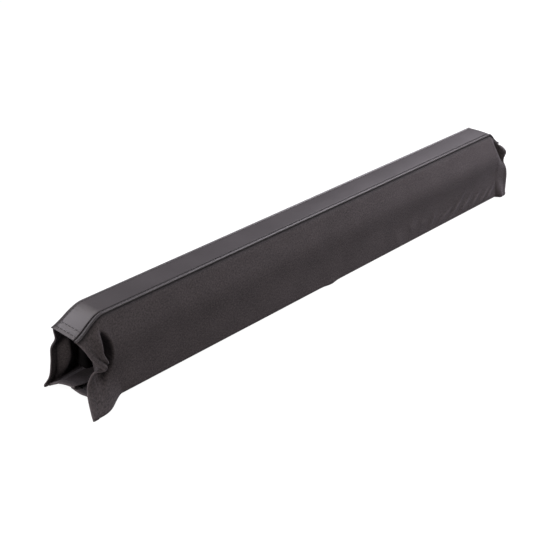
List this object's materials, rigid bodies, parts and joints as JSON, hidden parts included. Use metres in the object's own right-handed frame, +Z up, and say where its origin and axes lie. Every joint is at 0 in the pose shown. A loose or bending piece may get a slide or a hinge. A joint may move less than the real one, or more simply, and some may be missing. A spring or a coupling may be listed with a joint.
{
  "type": "roof rack pad",
  "caption": "Long soft pad for a roof rack bar: foam with a bar channel in a fabric sleeve with a smooth top strip, hook-and-loop flaps underneath and open limp ends.",
  "frame": {"origin": "on the flat underside, midway between the foam's ends and midway between its sides", "axes": "+X along the pad to its far end in the picture, -Y out of its front side, +Z up"},
  "size_m": [0.7761, 0.1008, 0.0918],
  "materials": {
    "coated_fabric": "smooth coated fabric, soft sheen",
    "woven_polyester": "fine plain weave, matt",
    "foam": "skinned closed-cell foam, matt",
    "hook_and_loop": "hook tape and loop tape, matt"
  },
  "bodies": {
    "root": {"foam_block": "foam", "foam_rail_front": "foam", "foam_rail_back": "foam", "top_strip": "coated_fabric", "front_panel": "woven_polyester", "back_panel": "woven_polyester", "hook_tape": "hook_and_loop", "loop_tape": "hook_and_loop"}
  },
  "joints": []
}
